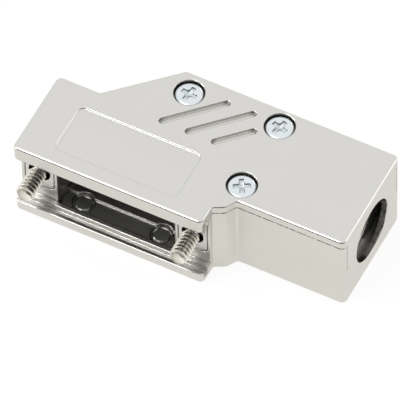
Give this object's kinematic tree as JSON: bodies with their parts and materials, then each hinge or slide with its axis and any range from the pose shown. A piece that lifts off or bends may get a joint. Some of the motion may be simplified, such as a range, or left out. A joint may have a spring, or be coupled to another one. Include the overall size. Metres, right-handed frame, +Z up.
{
  "type": "d-sub connector hood",
  "caption": "Angled die-cast metal hood for a small D-sub connector: screwed cover, captive jackscrews beside the open mouth, and a round cable entry at the side with a clamp inside.",
  "frame": {"origin": "Middle of the connector's mouth, in the plane of its front lips, halfway between the underside and the cover's face.", "axes": "+X towards the cable entry, +Y from the mouth to the back of the hood, +Z up towards the cover with its three sunk screws."},
  "size_m": [0.0508, 0.0285, 0.0148],
  "materials": {
    "nickel_plated_zinc": "satin nickel plating on a die casting",
    "zinc_plated_steel": "bright zinc plating",
    "nickel_plated_steel": "bright nickel plating",
    "spring_steel": "dull spring steel"
  },
  "bodies": {
    "hood": {"base_shell": "nickel_plated_zinc", "cover_shell": "nickel_plated_zinc", "cover_screw_rear_left": "zinc_plated_steel", "cover_screw_rear_right": "zinc_plated_steel", "cover_screw_front": "zinc_plated_steel", "clamp_saddle": "nickel_plated_zinc", "clamp_screw_front": "zinc_plated_steel", "clamp_screw_rear": "zinc_plated_steel"},
    "left_travel": {"left_retaining_clip": "spring_steel"},
    "left_jackscrew": {"left_jackscrew": "nickel_plated_steel"},
    "right_travel": {"right_retaining_clip": "spring_steel"},
    "right_jackscrew": {"right_jackscrew": "nickel_plated_steel"}
  },
  "joints": [
    {"name": "left_jackscrew_travel", "type": "slide", "parent": "hood", "child": "left_travel", "axis": [0, 1, 0], "range_m": [0, 0.0033]},
    {"name": "left_jackscrew_turn", "type": "hinge", "parent": "left_travel", "child": "left_jackscrew", "pos_m": [-0.01249, 0, 0], "axis": [0, 1, 0], "continuous": true},
    {"name": "right_jackscrew_travel", "type": "slide", "parent": "hood", "child": "right_travel", "axis": [0, 1, 0], "range_m": [0, 0.0033]},
    {"name": "right_jackscrew_turn", "type": "hinge", "parent": "right_travel", "child": "right_jackscrew", "pos_m": [0.01249, 0, 0], "axis": [0, 1, 0], "continuous": true}
  ]
}
